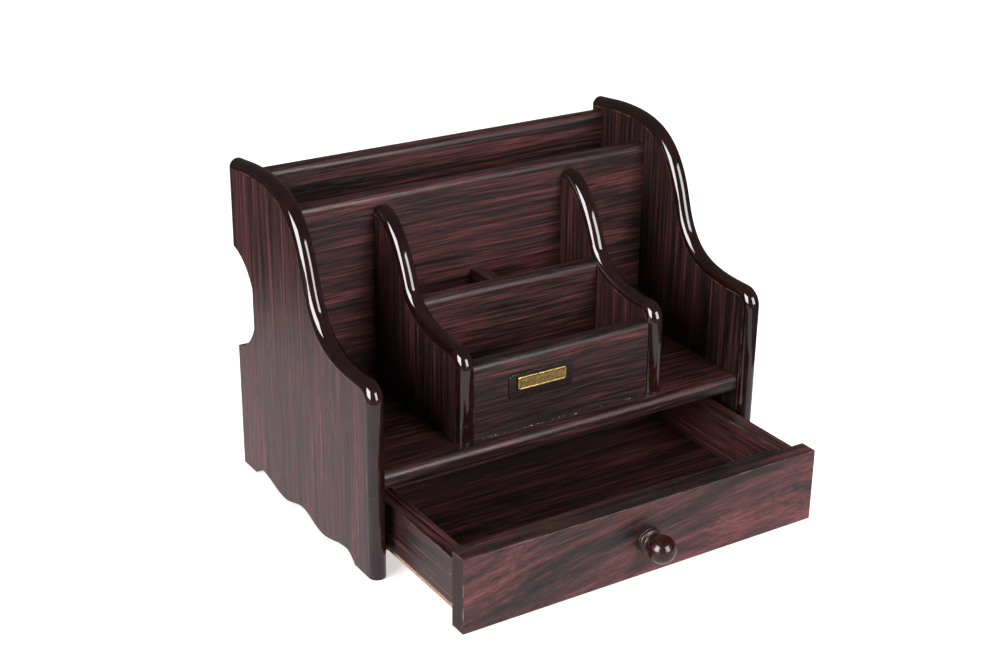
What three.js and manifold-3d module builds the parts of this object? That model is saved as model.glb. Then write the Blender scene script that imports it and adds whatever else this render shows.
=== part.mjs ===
// Desk organizer: a small wood-grain case with two curved side panels, a row of upright
// dividers, a card tray in the middle, two open side bays and one drawer under the shelf.
// Millimetres, +X to the right, +Y to the back, +Z up. The drawer is modelled half open.
import * as THREE from "three";
import { mergeVertices } from "three/addons/utils/BufferGeometryUtils.js";
import Module from "manifold-3d";

const wasm = await Module();
wasm.setup();

// ---- driving dimensions -------------------------------------------------------------

// Case
const WIDTH = 210; // over the outer faces of the side panels
const DEPTH = 131.3; // foremost edge of the side panels to their rear edge
const SIDE_THICKNESS = 8.1;
const BOARD = 8.4; // shelf, dividers, back, card boards and drawer boards
const PARTITION_THICKNESS = 8.1;

// Side panel outline
const FOOT_LENGTH = 17; // flat front foot, front edge to the start of the wave
const REAR_FOOT_LENGTH = 13.1;
const SHOULDER_HEIGHT = 89; // top of the low front part
const CREST_HEIGHT = 152.8; // top of the laminate face, without the rounded edge
const CREST_FROM_REAR = 25.7;
const REAR_TOP_HEIGHT = 150.7;
const KNUCKLE_RADIUS = 5.2;
const WAVE_HEIGHT = 4.5;
const WAVE_DIP = 0.4; // how far the low points of the wave stay off the ground
const NOTCH_RADIUS = 25.6;
const NOTCH_HEIGHT = 87.5; // centre of the round finger notch in the rear edge
const NOTCH_SETBACK = 5; // notch centre behind the rear edge
const WAVE_FOOT_SHARE = 0.15; // of half the wave's length, where it climbs off the foot
const WAVE_DIP_SHARE = 0.62; // of half the wave's length, where its low point is

// S-curve of the side panels: handles and turn as shares of its run back and its rise
const SIDE_CURVE_START = 0.3; // handle along the shoulder
const SIDE_CURVE_LOW = [0.445, 0.07];
const SIDE_CURVE_TURN = [0.527, 0.478];
const SIDE_CURVE_HIGH = [0.613, 0.906];
const SIDE_CURVE_END = 0.762; // handle along the crest
const REAR_CURVE_START = 0.4; // shares of the run from the crest to the rear edge
const REAR_CURVE_END = 0.65;
const REAR_CURVE_LIFT = 0.7; // last handle above the rear top

// Upright boards, all measured from the foremost edge of the side panels
const SHELF_TOP = 48.1;
const SHELF_FRONT = 5;
const SHELF_THICKNESS = 8.7;
const NOSE_RADIUS = 3.4; // wrapped round edges of the boards
const BACK_INSET = 0.4; // back panel behind the rear edge of the side panels
const BACK_TOP = 149.2;
const DIVIDER_FRONT = 86.3; // front face of the full-width rear divider
const DIVIDER_TOP = 142.2;

// Card tray and pen slots
const TRAY_WIDTH = 94.6; // clear width between the partitions
const PARTITION_FRONT = 9.4;
const PARTITION_SHOULDER = 89; // laminate face only
const PARTITION_CREST = 135.6; // the curve rises toward this height and ends just below it
const PARTITION_REAR_DROP = 2.4;
const PARTITION_CURVE_START = 0.286;
const PARTITION_CURVE_LOW = [0.558, 0.105];
const PARTITION_CURVE_TURN = [0.628, 0.38];
const PARTITION_CURVE_HIGH = [0.704, 0.673];
const PARTITION_CURVE_END = 0.87;
const CARD_FRONT_FACE = 11.9;
const CARD_FRONT_TOP = 84.7;
const CARD_BACK_FACE = 54.3;
const CARD_BACK_TOP = 100.6;
const PEN_DIVIDER_TOP = 96.2;
const PEN_DIVIDER_THICKNESS = 8.1;
const PEN_DIVIDER_NOSE = 1.6;

// Plate on the card front
const PLATE_WIDTH = 33.8;
const PLATE_HEIGHT = 12;
const PLATE_THICKNESS = 0.8;
const PLATE_CORNER = 2.4;
const PLATE_OFFSET = -12.4; // plate centre from the middle of the tray
const PLATE_CENTRE_HEIGHT = 69.7;
const BAR_WIDTH = 25.8;
const BAR_HEIGHT = 6.6;
const BAR_THICKNESS = 1.4;
const BAR_BEVEL = 0.5;
const BAR_CORNER = 1;
const BAR_RISE = 1.5; // bar centre above the plate's

// Drawer
const DRAWER_OPENING = 60.7; // how far out the drawer stands from closed
const DRAWER_CLOSED_FRONT = 5; // front face when closed, in line with the shelf's edge
const DRAWER_GAP = 3.3; // drawer front to side panel, each side
const DRAWER_FRONT_THICKNESS = 8.8;
const DRAWER_CLEARANCE_BELOW = 0.6;
const DRAWER_CLEARANCE_ABOVE = 3.6;
const DRAWER_BOX_INSET = 0.8; // drawer side inside the end of the drawer front
const DRAWER_SIDE_DROP = 4.1; // top of the drawer sides below the top of the drawer front
const DRAWER_BOTTOM_RISE = 7.4; // underside of the drawer bottom above the front's lower edge
const DRAWER_BOTTOM_THICKNESS = 1.8;
const DRAWER_BACK_GAP = 0.6; // drawer box to back panel when closed
const RUNNER_GAP = 0.3; // drawer bottom above the case bottom

// Case bottom, a thin sheet held in grooves in the side panels
const CASE_BOTTOM_THICKNESS = 3;
const CASE_BOTTOM_SETBACK = 14;
const GROOVE_DEPTH = 3;

// Knob
const KNOB_BALL_RADIUS = 6.4;
const KNOB_BALL_REACH = 9.8; // ball centre in front of the drawer front
const KNOB_COLLAR_RADIUS = 6;
const KNOB_COLLAR_LENGTH = 3;
const KNOB_COLLAR_CHAMFER = 0.6;
const KNOB_NECK_RADIUS = 4.2;
const KNOB_NECK_FLARE = 0.5; // neck wider than its narrowest where it meets the collar
const KNOB_ABOVE_FLOOR = 7.7; // knob axis above the drawer floor, clear of its screw's head
const KNOB_HOLE_DEPTH = 9;

// Fasteners
const DOWEL_RADIUS = 2.5;
const DOWEL_LENGTH = 16;
const DOWEL_IN_SIDE = 5.5;
const DOWEL_CHAMFER = 0.7;
const DOWEL_INSET = 18; // from the ends of an upright board
const SHELF_DOWEL_INSET = 22;
const END_GAP = 0.5; // left free past the end of a dowel or of the knob's screw
const SCREW_RADIUS = 1.6;
const SCREW_HEAD_RADIUS = 3.2;
const SCREW_HEAD_HEIGHT = 1.8;
const SCREW_HEAD_RIM = 0.2;
const SCREW_LENGTH = 22;
const SCREW_POINT = 3;
const SCREW_SET = 0.1; // screw head below the shelf's underside
const SCREW_INSET = 17; // from the front of a partition and from the rear divider
const KNOB_SCREW_RADIUS = 2;
const KNOB_SCREW_HEAD_RADIUS = 4;
const KNOB_SCREW_HEAD_HEIGHT = 2.2;
const KNOB_SCREW_CROWN_RADIUS = 2.4;
const KNOB_SCREW_RIM = 0.9;
const BRAD_RADIUS = 0.6;
const CORNER_BRAD_LENGTH = 20;
const CORNER_BRAD_LOW = 5; // lower brad above the lower edge of the drawer side
const CORNER_BRAD_HIGH = 7; // upper brad below its top
const BOTTOM_BRAD_LENGTH = 12;
const BOTTOM_BRAD_SHARES = [0.15, 0.5, 0.85]; // of the drawer box's length
const BRAD_SET = 0.2; // brad head below the face
const FIT = 0.15; // clearance round every fastener and panel edge let into another piece
const POINT_FIT = 3; // a hole runs this many times FIT past a screw's point
const HOLE_OVERRUN = 1; // how far a drilled hole's cutter reaches past the face

// Fineness of the curved faces
const EDGE_STEPS = 6; // rows of faces round a half-round edge
const ROUND_STEPS = 5; // steps round a board's wrapped edge
const CURVE_STEP = 4; // length of one step along a long curve
const KNUCKLE_STEP = 2;
const NOTCH_STEPS = 14;
const WAVE_STEPS = 18;
const KNOB_STEPS = 9;
const KNOB_SIDES = 20;
const PIN_SIDES = 10;

// ---- places worked out from them ----------------------------------------------------

const innerHalf = WIDTH / 2 - SIDE_THICKNESS;
const partitionInner = TRAY_WIDTH / 2;
const partitionOuter = partitionInner + PARTITION_THICKNESS;
const shelfBottom = SHELF_TOP - SHELF_THICKNESS;
const backFront = DEPTH - BACK_INSET - BOARD;
const cardBackRear = CARD_BACK_FACE + BOARD;

const drawerFrontHalf = innerHalf - DRAWER_GAP;
const drawerBoxHalf = drawerFrontHalf - DRAWER_BOX_INSET;
const drawerBoxInner = drawerBoxHalf - BOARD;
const drawerLow = DRAWER_CLEARANCE_BELOW;
const drawerTop = shelfBottom - DRAWER_CLEARANCE_ABOVE;
const drawerBottomLow = drawerLow + DRAWER_BOTTOM_RISE;
const drawerSideLow = drawerBottomLow + DRAWER_BOTTOM_THICKNESS;
const drawerSideTop = drawerTop - DRAWER_SIDE_DROP;
const drawerFace = DRAWER_CLOSED_FRONT - DRAWER_OPENING;
const drawerBoxFront = drawerFace + DRAWER_FRONT_THICKNESS;
const drawerBoxRear = backFront - DRAWER_BACK_GAP - DRAWER_OPENING;
const caseBottomTop = drawerBottomLow - RUNNER_GAP;
const caseBottomLow = caseBottomTop - CASE_BOTTOM_THICKNESS;
const backBottom = caseBottomLow;
const knobReach = KNOB_BALL_REACH + KNOB_BALL_RADIUS;

// ---- solids -------------------------------------------------------------------------

function solid(geometry) {
  const bare = geometry.clone();
  bare.deleteAttribute("normal");
  bare.deleteAttribute("uv");
  const merged = mergeVertices(bare, 1e-4);
  return new wasm.Manifold(new wasm.Mesh({
    numProp: 3,
    vertProperties: Float32Array.from(merged.attributes.position.array),
    triVerts: Uint32Array.from(merged.index.array),
  }));
}

function geometryOf(body) {
  const mesh = body.getMesh();
  const geometry = new THREE.BufferGeometry();
  geometry.setAttribute("position", new THREE.BufferAttribute(mesh.vertProperties, 3));
  geometry.setIndex(new THREE.BufferAttribute(mesh.triVerts, 1));
  return geometry;
}

// Cut a list of placed cutter geometries out of a placed geometry.
function cut(geometry, cutters) {
  let body = solid(geometry);
  for (const cutter of cutters) {
    body = body.subtract(solid(cutter));
  }
  return geometryOf(body);
}

function box(x0, x1, y0, y1, z0, z1) {
  const geometry = new THREE.BoxGeometry(x1 - x0, y1 - y0, z1 - z0);
  return geometry.translate((x0 + x1) / 2, (y0 + y1) / 2, (z0 + z1) / 2);
}

// Extrude a (Y, Z) outline along +X.
function alongX(shape, x0, x1) {
  const geometry = new THREE.ExtrudeGeometry(shape, {
    depth: x1 - x0, bevelEnabled: false, curveSegments: ROUND_STEPS,
  });
  const turn = new THREE.Matrix4().makeBasis(
    new THREE.Vector3(0, 1, 0), new THREE.Vector3(0, 0, 1), new THREE.Vector3(1, 0, 0));
  return geometry.applyMatrix4(turn).translate(x0, 0, 0);
}

// Extrude an (X, Z) outline along -Y, from y1 forward to y0.
function alongY(shape, y0, y1, bevel = 0) {
  const geometry = new THREE.ExtrudeGeometry(shape, {
    depth: y1 - y0 - 2 * bevel, bevelEnabled: bevel > 0, bevelThickness: bevel, bevelSize: bevel,
    bevelOffset: -bevel, bevelSegments: 1, curveSegments: ROUND_STEPS,
  });
  const turn = new THREE.Matrix4().makeBasis(
    new THREE.Vector3(1, 0, 0), new THREE.Vector3(0, 0, 1), new THREE.Vector3(0, -1, 0));
  return geometry.applyMatrix4(turn).translate(0, y1 - bevel, 0);
}

// Rectangle whose corners have their own radii, in the order low-left, low-right,
// high-right, high-left. A radius of 0 leaves the corner square.
function roundedRectangle(x0, x1, y0, y1, radii) {
  const [lowLeft, lowRight, highRight, highLeft] = radii;
  const shape = new THREE.Shape();
  shape.moveTo(x0 + lowLeft, y0);
  shape.lineTo(x1 - lowRight, y0);
  if (lowRight > 0) {
    shape.absarc(x1 - lowRight, y0 + lowRight, lowRight, -Math.PI / 2, 0);
  }
  shape.lineTo(x1, y1 - highRight);
  if (highRight > 0) {
    shape.absarc(x1 - highRight, y1 - highRight, highRight, 0, Math.PI / 2);
  }
  shape.lineTo(x0 + highLeft, y1);
  if (highLeft > 0) {
    shape.absarc(x0 + highLeft, y1 - highLeft, highLeft, Math.PI / 2, Math.PI);
  }
  shape.lineTo(x0, y0 + lowLeft);
  if (lowLeft > 0) {
    shape.absarc(x0 + lowLeft, y0 + lowLeft, lowLeft, Math.PI, Math.PI * 1.5);
  }
  return shape;
}

// Upright board across the case with a wrapped, rounded top edge.
function uprightBoard(halfWidth, front, bottom, top) {
  const radii = [0, 0, NOSE_RADIUS, NOSE_RADIUS];
  const outline = roundedRectangle(front, front + BOARD, bottom, top, radii);
  return alongX(outline, -halfWidth, halfWidth);
}

// Board standing in the (Y, Z) plane whose front and top edge is fully rounded. The edge
// runs from the foot to the rear top; the rest of the outline stays square. Each row of
// points is the face's outline pushed out along the edge by the half-round section.
function roundedEdgeBoard(edge, rest, thickness) {
  const radius = thickness / 2;
  const outline = edge.concat(rest);
  const push = edge.map((point, i) => {
    const before = edge[Math.max(i - 1, 0)];
    const after = edge[Math.min(i + 1, edge.length - 1)];
    const along = after.clone().sub(before).normalize();
    return new THREE.Vector2(-along.y, along.x);
  });
  push[0].set(-1, 0);
  push[edge.length - 1].set(0, 1);

  const positions = [];
  for (let row = 0; row <= EDGE_STEPS; row += 1) {
    const angle = Math.PI * row / EDGE_STEPS;
    const x = radius * (1 - Math.cos(angle));
    const out = radius * Math.sin(angle);
    outline.forEach((point, i) => {
      const y = i < edge.length ? point.x + push[i].x * out : point.x;
      const z = i < edge.length ? point.y + push[i].y * out : point.y;
      positions.push(x, y, z);
    });
  }

  const count = outline.length;
  const index = [];
  for (let row = 0; row < EDGE_STEPS; row += 1) {
    for (let i = 0; i < count; i += 1) {
      const a = row * count + i;
      const c = row * count + (i + 1) % count;
      index.push(a, a + count, c, a + count, c + count, c);
    }
  }
  const last = EDGE_STEPS * count;
  for (const [i, j, k] of THREE.ShapeUtils.triangulateShape(outline, [])) {
    index.push(k, j, i, last + i, last + j, last + k);
  }
  const geometry = new THREE.BufferGeometry();
  geometry.setAttribute("position", new THREE.Float32BufferAttribute(positions, 3));
  geometry.setIndex(index);
  return geometry;
}

// Points of a path in steps of about the given length, the last one left out.
function sample(curve, step) {
  const divisions = Math.max(2, Math.round(curve.getLength() / step));
  return curve.getPoints(divisions).slice(0, divisions);
}

function bezier(...points) {
  const path = new THREE.CubicBezierCurve(...points.map(([y, z]) => new THREE.Vector2(y, z)));
  return sample(path, CURVE_STEP);
}

// Quarter circle at the top of a straight front, ending at (y, z) on the shoulder.
function knuckle(y, z) {
  const radius = KNUCKLE_RADIUS;
  const arc = new THREE.EllipseCurve(y, z - radius, radius, radius, Math.PI, Math.PI / 2, true);
  return sample(arc, KNUCKLE_STEP);
}

// ---- side panels --------------------------------------------------------------------

// Front foot, straight front, knuckle, then the long S-curve up to the crest and rear top.
function sideEdge() {
  const face = SIDE_THICKNESS / 2;
  const crest = DEPTH - CREST_FROM_REAR;
  const kneeY = face + KNUCKLE_RADIUS;
  const rise = CREST_HEIGHT - SHOULDER_HEIGHT;
  const run = crest - kneeY;
  const onCurve = ([back, up]) => [kneeY + run * back, SHOULDER_HEIGHT + rise * up];
  return [
    new THREE.Vector2(face, 0),
    new THREE.Vector2(face, (SHOULDER_HEIGHT - KNUCKLE_RADIUS) / 2),
    ...knuckle(kneeY, SHOULDER_HEIGHT),
    ...bezier([kneeY, SHOULDER_HEIGHT], onCurve([SIDE_CURVE_START, 0]),
      onCurve(SIDE_CURVE_LOW), onCurve(SIDE_CURVE_TURN)),
    ...bezier(onCurve(SIDE_CURVE_TURN), onCurve(SIDE_CURVE_HIGH),
      onCurve([SIDE_CURVE_END, 1]), [crest, CREST_HEIGHT]),
    ...bezier([crest, CREST_HEIGHT], [crest + CREST_FROM_REAR * REAR_CURVE_START, CREST_HEIGHT],
      [crest + CREST_FROM_REAR * REAR_CURVE_END, REAR_TOP_HEIGHT + REAR_CURVE_LIFT],
      [DEPTH, REAR_TOP_HEIGHT]),
    new THREE.Vector2(DEPTH, REAR_TOP_HEIGHT),
  ];
}

// Rear edge with the round finger notch, from the top down.
function rearEdge() {
  const reach = Math.acos(NOTCH_SETBACK / NOTCH_RADIUS);
  const points = [];
  for (let i = 0; i <= NOTCH_STEPS; i += 1) {
    const angle = Math.PI - reach + 2 * reach * i / NOTCH_STEPS;
    points.push(new THREE.Vector2(
      DEPTH + NOTCH_SETBACK + NOTCH_RADIUS * Math.cos(angle),
      NOTCH_HEIGHT + NOTCH_RADIUS * Math.sin(angle)));
  }
  return points;
}

// Lower edge from the rear foot to the front foot: three low arches, the same from both ends.
function waveEdge() {
  const start = FOOT_LENGTH;
  const end = DEPTH - REAR_FOOT_LENGTH;
  const half = (end - start) / 2;
  const footRun = half * WAVE_FOOT_SHARE;
  const dipRun = half * WAVE_DIP_SHARE;
  const height = (run) => {
    if (run < footRun) {
      return WAVE_HEIGHT * Math.sin(Math.PI / 2 * run / footRun);
    }
    const towardDip = run < dipRun ? (run - footRun) / (dipRun - footRun) : 1;
    const towardMiddle = run < dipRun ? 0 : (run - dipRun) / (half - dipRun);
    const swing = (Math.cos(Math.PI * (towardDip + towardMiddle)) + 1) / 2;
    return WAVE_DIP + (WAVE_HEIGHT - WAVE_DIP) * swing;
  };
  const points = [new THREE.Vector2(DEPTH, 0)];
  for (let i = 0; i <= WAVE_STEPS; i += 1) {
    const y = end - (end - start) * i / WAVE_STEPS;
    const run = Math.min(y - start, end - y);
    points.push(new THREE.Vector2(y, height(run)));
  }
  return points;
}

// Turn a half-section of (radius, height) points about +Y.
function turned(profile, sides) {
  return new THREE.LatheGeometry(profile.map(([r, y]) => new THREE.Vector2(r, y)), sides);
}

function dowel() {
  const end = DOWEL_RADIUS - DOWEL_CHAMFER;
  return turned([[0, 0], [end, 0], [DOWEL_RADIUS, DOWEL_CHAMFER],
    [DOWEL_RADIUS, DOWEL_LENGTH - DOWEL_CHAMFER], [end, DOWEL_LENGTH], [0, DOWEL_LENGTH]], PIN_SIDES);
}

// Round bar along X from x0 to x1, used as a pin and, a little larger, as its hole.
function barX(radius, x0, x1, y, z) {
  const geometry = new THREE.CylinderGeometry(radius, radius, x1 - x0, PIN_SIDES);
  return geometry.rotateZ(-Math.PI / 2).translate((x0 + x1) / 2, y, z);
}

function barY(radius, y0, y1, x, z) {
  const geometry = new THREE.CylinderGeometry(radius, radius, y1 - y0, PIN_SIDES);
  return geometry.translate(x, (y0 + y1) / 2, z);
}

function barZ(radius, z0, z1, x, y) {
  const geometry = new THREE.CylinderGeometry(radius, radius, z1 - z0, PIN_SIDES);
  return geometry.rotateX(Math.PI / 2).translate(x, y, (z0 + z1) / 2);
}

// Where the dowels sit: the board's name, and the (Y, Z) of each dowel in its two ends.
const shelfMiddle = shelfBottom + SHELF_THICKNESS / 2;
const dividerMiddle = DIVIDER_FRONT + BOARD / 2;
const backMiddle = backFront + BOARD / 2;
const dowelPlaces = {
  shelf: [[SHELF_FRONT + SHELF_DOWEL_INSET, shelfMiddle], [backFront - SHELF_DOWEL_INSET, shelfMiddle]],
  divider: [[dividerMiddle, SHELF_TOP + DOWEL_INSET], [dividerMiddle, DIVIDER_TOP - DOWEL_INSET]],
  back: [[backMiddle, backBottom + DOWEL_INSET], [backMiddle, BACK_TOP - DOWEL_INSET]],
};

// Dowel holes for one end of a board; side is -1 for left and 1 for right.
function dowelHoles(places, side) {
  const joint = side * innerHalf;
  const intoSide = joint + side * (DOWEL_IN_SIDE + END_GAP);
  const intoBoard = joint - side * (DOWEL_LENGTH - DOWEL_IN_SIDE + END_GAP);
  return places.map(([y, z]) =>
    barX(DOWEL_RADIUS + FIT, Math.min(intoSide, intoBoard), Math.max(intoSide, intoBoard), y, z));
}

function allDowelHoles(places) {
  return [...dowelHoles(places, -1), ...dowelHoles(places, 1)];
}

function sidePanel(side) {
  const board = roundedEdgeBoard(sideEdge(), [...rearEdge(), ...waveEdge()], SIDE_THICKNESS);
  board.translate(side < 0 ? -WIDTH / 2 : innerHalf, 0, 0);
  const groove = box(-innerHalf - GROOVE_DEPTH, innerHalf + GROOVE_DEPTH,
    CASE_BOTTOM_SETBACK - FIT, backFront + FIT, caseBottomLow - FIT, caseBottomTop + FIT);
  const holes = Object.values(dowelPlaces).flatMap((places) => dowelHoles(places, side));
  return cut(board, [...holes, groove]);
}

// ---- partitions and their screws ----------------------------------------------------

function partitionEdge() {
  const face = PARTITION_FRONT + PARTITION_THICKNESS / 2;
  const kneeY = face + KNUCKLE_RADIUS;
  const rise = PARTITION_CREST - PARTITION_SHOULDER;
  const run = DIVIDER_FRONT - kneeY;
  const rearTop = PARTITION_CREST - PARTITION_REAR_DROP;
  const onCurve = ([back, up]) => [kneeY + run * back, PARTITION_SHOULDER + rise * up];
  return [
    new THREE.Vector2(face, SHELF_TOP),
    ...knuckle(kneeY, PARTITION_SHOULDER),
    ...bezier([kneeY, PARTITION_SHOULDER], onCurve([PARTITION_CURVE_START, 0]),
      onCurve(PARTITION_CURVE_LOW), onCurve(PARTITION_CURVE_TURN)),
    ...bezier(onCurve(PARTITION_CURVE_TURN), onCurve(PARTITION_CURVE_HIGH),
      onCurve([PARTITION_CURVE_END, 1]), [DIVIDER_FRONT, rearTop]),
    new THREE.Vector2(DIVIDER_FRONT, rearTop),
  ];
}

// A countersunk screw, point up, its head's face at height 0. Grown by FIT it is its hole.
function screw(grow) {
  const radius = SCREW_RADIUS + grow;
  const head = SCREW_HEAD_RADIUS + grow;
  const low = grow > 0 ? -HOLE_OVERRUN : 0;
  return turned([[0, low], [head, low], [head, SCREW_HEAD_RIM], [radius, SCREW_HEAD_HEIGHT + grow],
    [radius, SCREW_LENGTH - SCREW_POINT + grow], [0, SCREW_LENGTH + grow * POINT_FIT]], PIN_SIDES);
}

const partitionScrewPlaces = [PARTITION_FRONT + SCREW_INSET, DIVIDER_FRONT - SCREW_INSET];

function partitionScrew(side, y, grow) {
  const x = side * (partitionInner + PARTITION_THICKNESS / 2);
  return screw(grow).rotateX(Math.PI / 2).translate(x, y, shelfBottom + SCREW_SET);
}

function partitionScrewHoles(sides) {
  return sides.flatMap((side) => partitionScrewPlaces.map((y) => partitionScrew(side, y, FIT)));
}

function partition(side) {
  const rest = [new THREE.Vector2(DIVIDER_FRONT, SHELF_TOP)];
  const board = roundedEdgeBoard(partitionEdge(), rest, PARTITION_THICKNESS);
  board.translate(side < 0 ? -partitionOuter : partitionInner, 0, 0);
  return cut(board, partitionScrewHoles([side]));
}

function shelf() {
  const outline = roundedRectangle(SHELF_FRONT, backFront, shelfBottom, SHELF_TOP,
    [NOSE_RADIUS, 0, 0, NOSE_RADIUS]);
  const board = alongX(outline, -innerHalf, innerHalf);
  return cut(board, [...allDowelHoles(dowelPlaces.shelf), ...partitionScrewHoles([-1, 1])]);
}

function backPanel() {
  const board = uprightBoard(innerHalf, backFront, backBottom, BACK_TOP);
  return cut(board, allDowelHoles(dowelPlaces.back));
}

function rearDivider() {
  const board = uprightBoard(innerHalf, DIVIDER_FRONT, SHELF_TOP, DIVIDER_TOP);
  return cut(board, allDowelHoles(dowelPlaces.divider));
}

function penDivider() {
  const half = PEN_DIVIDER_THICKNESS / 2;
  const outline = roundedRectangle(-half, half, SHELF_TOP, PEN_DIVIDER_TOP,
    [0, 0, PEN_DIVIDER_NOSE, PEN_DIVIDER_NOSE]);
  return alongY(outline, cardBackRear, DIVIDER_FRONT);
}

function caseBottom() {
  const half = innerHalf + GROOVE_DEPTH - FIT;
  return box(-half, half, CASE_BOTTOM_SETBACK, backFront, caseBottomLow, caseBottomTop);
}

// ---- plate on the card front --------------------------------------------------------

function plateBase() {
  const outline = roundedRectangle(PLATE_OFFSET - PLATE_WIDTH / 2, PLATE_OFFSET + PLATE_WIDTH / 2,
    PLATE_CENTRE_HEIGHT - PLATE_HEIGHT / 2, PLATE_CENTRE_HEIGHT + PLATE_HEIGHT / 2,
    [PLATE_CORNER, PLATE_CORNER, PLATE_CORNER, PLATE_CORNER]);
  return alongY(outline, CARD_FRONT_FACE - PLATE_THICKNESS, CARD_FRONT_FACE);
}

function plateBar() {
  const rear = CARD_FRONT_FACE - PLATE_THICKNESS;
  const centre = PLATE_CENTRE_HEIGHT + BAR_RISE;
  const outline = roundedRectangle(PLATE_OFFSET - BAR_WIDTH / 2, PLATE_OFFSET + BAR_WIDTH / 2,
    centre - BAR_HEIGHT / 2, centre + BAR_HEIGHT / 2,
    [BAR_CORNER, BAR_CORNER, BAR_CORNER, BAR_CORNER]);
  return alongY(outline, rear - BAR_THICKNESS, rear - FIT, BAR_BEVEL);
}

// ---- drawer -------------------------------------------------------------------------

const knobHeight = drawerSideLow + KNOB_ABOVE_FLOOR;
const innerFrontRear = drawerBoxFront + BOARD;

function knobHole() {
  return barY(KNOB_SCREW_RADIUS + FIT, drawerFace - HOLE_OVERRUN, innerFrontRear + HOLE_OVERRUN,
    0, knobHeight);
}

function drawerFront() {
  const board = box(-drawerFrontHalf, drawerFrontHalf, drawerFace, drawerBoxFront,
    drawerLow, drawerTop);
  return cut(board, [knobHole()]);
}

const cornerBradHeights = [drawerSideLow + CORNER_BRAD_LOW, drawerSideTop - CORNER_BRAD_HIGH];
const crossBoards = {
  front: drawerBoxFront + BOARD / 2,
  back: drawerBoxRear - BOARD / 2,
};

// A brad driven in through the drawer side. Grown by FIT it is its hole, open at the face.
function cornerBrad(side, y, z, grow) {
  const overrun = grow > 0 ? HOLE_OVERRUN : 0;
  const outer = side * (drawerBoxHalf - BRAD_SET + overrun);
  const inner = side * (drawerBoxHalf - BRAD_SET - CORNER_BRAD_LENGTH - grow);
  return barX(BRAD_RADIUS + grow, Math.min(outer, inner), Math.max(outer, inner), y, z);
}

function cornerBradHoles(sides, places) {
  return sides.flatMap((side) => places.flatMap((y) =>
    cornerBradHeights.map((z) => cornerBrad(side, y, z, FIT))));
}

const bottomBradPlaces = BOTTOM_BRAD_SHARES.map((share) =>
  drawerBoxFront + (drawerBoxRear - drawerBoxFront) * share);

function bottomBrad(side, y, grow) {
  const x = side * (drawerBoxHalf - BOARD / 2);
  const low = drawerBottomLow + BRAD_SET;
  const overrun = grow > 0 ? HOLE_OVERRUN : 0;
  return barZ(BRAD_RADIUS + grow, low - overrun, low + BOTTOM_BRAD_LENGTH + grow, x, y);
}

function bottomBradHoles(sides) {
  return sides.flatMap((side) => bottomBradPlaces.map((y) => bottomBrad(side, y, FIT)));
}

function drawerSide(side) {
  const x0 = side < 0 ? -drawerBoxHalf : drawerBoxInner;
  const board = box(x0, x0 + BOARD, drawerBoxFront, drawerBoxRear, drawerSideLow, drawerSideTop);
  const holes = cornerBradHoles([side], Object.values(crossBoards));
  return cut(board, [...holes, ...bottomBradHoles([side])]);
}

function drawerCrossBoard(y, cutters) {
  const board = box(-drawerBoxInner, drawerBoxInner, y - BOARD / 2, y + BOARD / 2,
    drawerSideLow, drawerSideTop);
  return cut(board, [...cornerBradHoles([-1, 1], [y]), ...cutters]);
}

function drawerBottom() {
  const board = box(-drawerBoxHalf, drawerBoxHalf, drawerBoxFront, drawerBoxRear,
    drawerBottomLow, drawerSideLow);
  return cut(board, bottomBradHoles([-1, 1]));
}

// Turned knob: collar against the drawer, a short neck, then the ball, as a half-section
// of (radius, distance from the drawer front).
function knob() {
  const neckEnd = KNOB_BALL_REACH - Math.sqrt(KNOB_BALL_RADIUS ** 2 - KNOB_NECK_RADIUS ** 2);
  const start = Math.atan2(neckEnd - KNOB_BALL_REACH, KNOB_NECK_RADIUS);
  const profile = [[0, 0], [KNOB_COLLAR_RADIUS, 0],
    [KNOB_COLLAR_RADIUS, KNOB_COLLAR_LENGTH - KNOB_COLLAR_CHAMFER],
    [KNOB_NECK_RADIUS + KNOB_NECK_FLARE, KNOB_COLLAR_LENGTH]];
  for (let i = 0; i <= KNOB_STEPS; i += 1) {
    const angle = start + (Math.PI / 2 - start) * i / KNOB_STEPS;
    const radius = i === KNOB_STEPS ? 0 : KNOB_BALL_RADIUS * Math.cos(angle);
    profile.push([radius, KNOB_BALL_REACH + KNOB_BALL_RADIUS * Math.sin(angle)]);
  }
  const body = turned(profile, KNOB_SIDES).rotateX(Math.PI).translate(0, drawerFace, knobHeight);
  const hole = barY(KNOB_SCREW_RADIUS + FIT, drawerFace - KNOB_HOLE_DEPTH, drawerFace + HOLE_OVERRUN,
    0, knobHeight);
  return cut(body, [hole]);
}

// Pan-head screw from inside the drawer, through both front boards into the knob.
function knobScrew() {
  const grip = innerFrontRear - drawerFace + KNOB_HOLE_DEPTH - END_GAP;
  const body = turned([[0, -KNOB_SCREW_HEAD_HEIGHT], [KNOB_SCREW_CROWN_RADIUS, -KNOB_SCREW_HEAD_HEIGHT],
    [KNOB_SCREW_HEAD_RADIUS, -KNOB_SCREW_RIM], [KNOB_SCREW_HEAD_RADIUS, 0],
    [KNOB_SCREW_RADIUS, 0], [KNOB_SCREW_RADIUS, grip], [0, grip]], PIN_SIDES);
  return body.rotateX(Math.PI).translate(0, innerFrontRear, knobHeight);
}

// ---- materials and assembly ---------------------------------------------------------

function finish(color, roughness, metalness = 0) {
  return new THREE.MeshStandardMaterial({ color, roughness, metalness });
}

const laminate = () => finish(0x3a2022, 0.45);
const hardboard = () => finish(0xb9895f, 0.7);
const cherry = () => finish(0x3b0f0c, 0.2);
const beech = () => finish(0xc69a66, 0.7);
const steel = () => finish(0x9a9a9a, 0.35, 1);
const brass = () => finish(0xc9a044, 0.3, 1);
const film = () => finish(0x1c1214, 0.25);

const caseGroup = new THREE.Group();
const drawerGroup = new THREE.Group();

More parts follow.
